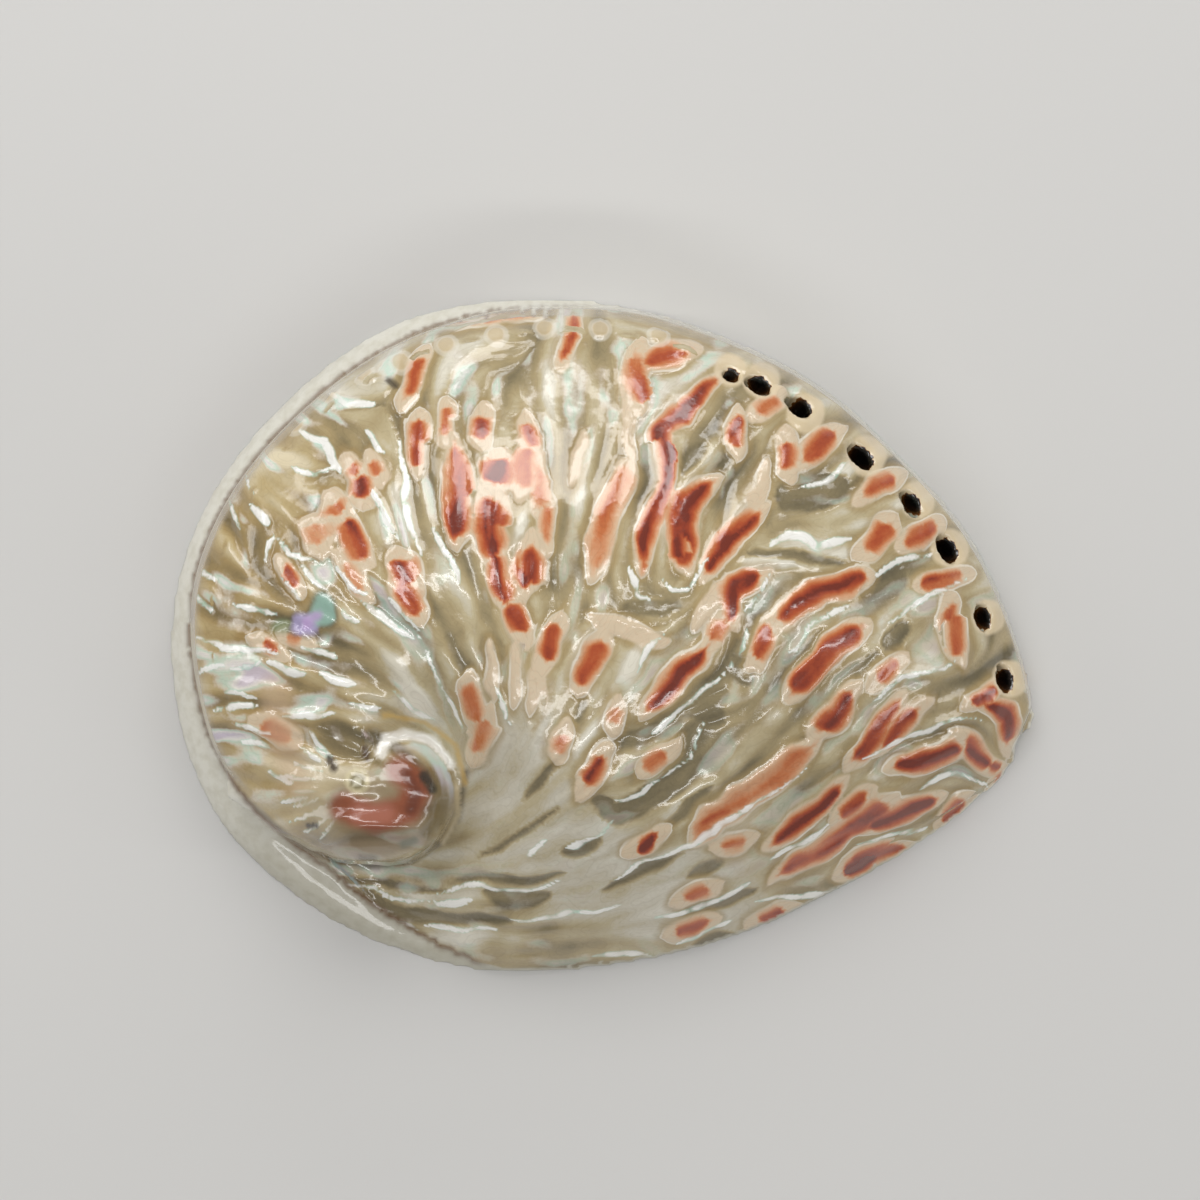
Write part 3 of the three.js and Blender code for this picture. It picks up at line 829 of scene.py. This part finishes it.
golden = (1 - smoothstep(240, 440, pixel_x)) * smoothstep(380, 460, pixel_y)
at_left = 1 - smoothstep(300, 480, pixel_x)
at_top = 1 - smoothstep(360, 480, pixel_y)
# How much painted sheen each place takes: most on the left and at the top, less on the fan, none in the lobes
# or on the pearl spot.
painted_sheen_share = np.clip(0.4 + 0.5 * at_left + 0.5 * at_top, 0, 1)
painted_sheen_share *= 1 - near([(285, 625), (325, 612)], 24, 12)
painted_sheen_share = painted_sheen_share * (1 - 0.8 * fan) * smoothstep(0, 5, lobe) * outside * level_ground
# Pore walls with painted shade are kept out of the lining.
shaded_pore_walls = smoothstep(0.1, 0.3, pore_depth) * (1 - smoothstep(3.5, 4.5, pore_depth))
store("redness", redness)
store("lobe", lobe)
store("tone", tone)
# edge breaks up the painted highlight along the lobe edges.
store("edge", np.clip(0.4 + 0.9 * cloud(pixel_x, pixel_y, 26, 42), 0, 1))
store("fan", fan)
store("golden", golden)
store("sheen", 0.5 + 0.15 * streaks(11, 4, 41))
store("painted_sheen_share", painted_sheen_share)
store("thread", thread)
store("ripple", 0.5 + 0.15 * medium)
store("ledge", ledge)
store("ledge_line", ledge_line)
store("pore_depth", pore_depth)
store("pore_rim", pore_rim)
store("knob", knob)
# low: darker towards the bottom of the picture, painted shade on the lower ledge.
store("low", smoothstep(780, 900, pixel_y))
store("outside", np.maximum(outside, shaded_pore_walls))
store("touch", touch, "FLOAT_COLOR")
print("attributes:", [a.name for a in shell.data.attributes if not a.name.startswith(".")])

# %% Set up the paint box
nacre = bpy.data.materials.new("polished_nacre")
nacre.use_nodes = True
tree = nacre.node_tree
gloss = tree.nodes["Principled BSDF"]


def node(kind, inputs=(), **settings):
    """Adds a node, with its settings and what goes into its sockets."""
    made = tree.nodes.new(kind)
    for name, value in settings.items():
        setattr(made, name, value)
    for socket, value in dict(inputs).items():
        if isinstance(value, bpy.types.NodeSocket):
            tree.links.new(value, made.inputs[socket])
        else:
            made.inputs[socket].default_value = value
    return made


def field(name, output="Fac"):
    """A stored field."""
    return node("ShaderNodeAttribute", attribute_name=name).outputs[output]


def opaque(colour):
    """A colour given from 0 to 255, as light with no transparency."""
    return linear(*colour) + (1,)


def ramp(value, stops):
    """Colours by a number, from stops of place and colour."""
    made = node("ShaderNodeValToRGB", {"Fac": value})
    bands = made.color_ramp.elements
    while len(bands) < len(stops):
        bands.new(1)
    for band, (at, colour) in zip(bands, stops):
        band.position = at
        band.color = opaque(colour)
    return made.outputs["Color"]


def share_of(value, low, high):
    """Rises from 0 at low to 1 at high."""
    made = node("ShaderNodeMapRange", {"Value": value, "From Min": low, "From Max": high})
    made.interpolation_type = "SMOOTHSTEP"
    return made.outputs["Result"]


def number(how, *values):
    """A sum, product or other number of numbers."""
    return node("ShaderNodeMath", dict(enumerate(values)), operation=how).outputs[0]


def blend(share, below, above, how="MIX"):
    """Lays one colour over another."""
    made = node("ShaderNodeMix", {0: share, 6: below, 7: above}, data_type="RGBA", blend_type=how)
    return made.outputs[2]


def grain(scale, detail=3.0):
    """Noise fixed to the shell, with a scale in features a metre."""
    where = node("ShaderNodeTexCoord").outputs["Object"]
    return node("ShaderNodeTexNoise", {"Vector": where, "Scale": scale, "Detail": detail}).outputs["Fac"]


# %% Mix the colours of the back
GROUND = [
    (0.10, (108, 98, 72)),
    (0.30, (144, 130, 96)),
    (0.50, (174, 156, 116)),
    (0.70, (196, 182, 146)),
    (0.85, (212, 204, 182)),
    (1.00, (232, 226, 208)),
]
FLAME = [
    (0.00, (218, 198, 168)),
    (0.10, (220, 186, 152)),
    (0.28, (216, 160, 118)),
    (0.48, (200, 116, 66)),
    (0.68, (180, 80, 38)),
    (0.88, (150, 56, 26)),
    (1.00, (118, 42, 22)),
]
fine = grain(1400, 4)
ground = ramp(number("ADD", field("tone"), number("MULTIPLY_ADD", fine, 0.12, -0.06)), GROUND)
# A khaki band round each lobe: partly the khaki layer that the lobes lie on, partly painted shade.
ground = blend(number("MULTIPLY", share_of(field("lobe"), 10.0, 2.0), 0.55), ground, opaque((172, 146, 96)))
ground = blend(number("MULTIPLY", field("golden"), 0.55), ground, opaque((244, 222, 168)), "MULTIPLY")
ground = blend(number("MULTIPLY", field("fan"), 0.5), ground, opaque((232, 232, 236)), "MULTIPLY")
flesh = ramp(number("ADD", field("redness"), number("MULTIPLY_ADD", fine, 0.16, -0.08)), FLAME)
painted = blend(share_of(field("lobe"), 2.0, -2.0), ground, flesh)
# A thin painted highlight along the edge of each lobe, broken where the edge field is low.
lobe_edge_highlight = share_of(number("ABSOLUTE", number("SUBTRACT", field("lobe"), 0.4)), 1.7, 0.3)
lobe_edge_highlight = number("MULTIPLY", lobe_edge_highlight, number("MULTIPLY", field("edge"), 0.7))
painted = blend(lobe_edge_highlight, painted, opaque((246, 238, 222)))
print("paint nodes:", len(tree.nodes))

# %% Lay the painted sheen, the painted glints and the hair lines
# Pearly strokes of painted sheen, white with pink, mint and lilac fringes, where polished nacre mirrors the
# lights.
SHEEN_PAINT = [(0.54, (224, 198, 204)), (0.64, (248, 244, 236)), (0.72, (206, 234, 218)), (0.80, (250, 250, 246)),
         (0.90, (224, 214, 234))]
sheen = number("ADD", field("sheen"), number("MULTIPLY_ADD", fine, 0.08, -0.04))
painted_sheen = number("MULTIPLY", share_of(sheen, 0.55, 0.74), field("painted_sheen_share"))
painted = blend(number("MULTIPLY", painted_sheen, 0.75), painted, ramp(sheen, SHEEN_PAINT))
# Painted highlights along the glints, white with pink and mint fringes.
fringe = number("ADD", field("thread"), number("MULTIPLY_ADD", grain(420), 0.7, -0.35))
glint_paint = ramp(fringe, [(0.1, (226, 186, 212)), (0.35, (186, 232, 212)), (0.55, (253, 252, 246))])
painted = blend(number("MULTIPLY", share_of(field("thread"), 0.15, 0.75), 0.9), painted, glint_paint)
hairs = number("PINGPONG", number("MULTIPLY", field("ripple"), 9.0), 0.5)
hair_share = number("MULTIPLY", share_of(hairs, 0.16, 0.0), 0.1)
painted = blend(hair_share, painted, opaque((130, 114, 84)), "MULTIPLY")
print("paint nodes:", len(tree.nodes))

# %% Paint the zones
from_ring = number("ABSOLUTE", number("SUBTRACT", field("knob"), 0.85))
ring = number("MULTIPLY", share_of(from_ring, 0.3, 0.1), 0.8)
painted = blend(number("MULTIPLY", share_of(field("knob"), 0.9, 0.6), 0.7), painted, opaque((212, 192, 156)))
painted = blend(number("MULTIPLY", ring, 0.4), painted, opaque((246, 240, 226)))
covered = blend(field("touch", "Alpha"), painted, (0, 0, 0, 1))
painted = blend(1.0, covered, field("touch", "Color"), "ADD")
ledge_colour_and_shade = ramp(grain(500, 5), [(0.35, (216, 212, 196)), (0.6, (228, 225, 212))])
# Painted shade: the ledge darker towards the bottom of the picture.
ledge_colour_and_shade = blend(number("MULTIPLY", field("low"), 0.6), ledge_colour_and_shade, opaque((188, 184, 170)), "MULTIPLY")
painted = blend(field("ledge"), painted, ledge_colour_and_shade)
painted = blend(number("MULTIPLY", field("ledge_line"), 0.8), painted, opaque((112, 78, 44)))
brim = number("MULTIPLY", share_of(field("pore_rim"), 7.0, 2.0), 0.8)
painted = blend(brim, painted, opaque((228, 208, 172)))
# Pore walls: brown near the rim, then painted shade, darker with depth down to black.
pore_brown_and_shade = ramp(number("MULTIPLY", field("pore_depth"), 0.25),
                   [(0.03, (176, 126, 62)), (0.12, (110, 66, 26)), (0.26, (40, 24, 12)), (0.5, (8, 6, 5))])
painted = blend(share_of(field("pore_depth"), 0.05, 0.25), painted, pore_brown_and_shade)
lining = ramp(grain(60, 3), [(0.35, (226, 206, 208)), (0.47, (214, 214, 206)), (0.56, (196, 220, 210)),
                             (0.66, (206, 204, 222))])
painted = blend(field("outside"), lining, painted)
tree.links.new(painted, gloss.inputs["Base Color"])
print("paint nodes:", len(tree.nodes))

# %% Polish
fan_rough = number("MULTIPLY_ADD", field("fan"), 0.10, 0.17)
rough = number("ADD", number("MULTIPLY", field("ledge"), 0.22), fan_rough)
tree.links.new(rough, gloss.inputs["Roughness"])
bump = node("ShaderNodeBump", {"Height": fine, "Strength": 0.12, "Distance": 0.3 * MM})
tree.links.new(bump.outputs["Normal"], gloss.inputs["Normal"])
gloss.inputs["IOR"].default_value = 1.62
gloss.inputs["Coat Weight"].default_value = 0.7
gloss.inputs["Coat Roughness"].default_value = 0.05
shell.data.materials.clear()
shell.data.materials.append(nacre)
print("material:", nacre.name)

# %% [markdown]
# ## Hand over
# The shell rides on the one body, stands for the solid that it was made from, and takes its finish.

# %% Finish
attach(shell, "root")
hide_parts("shell")
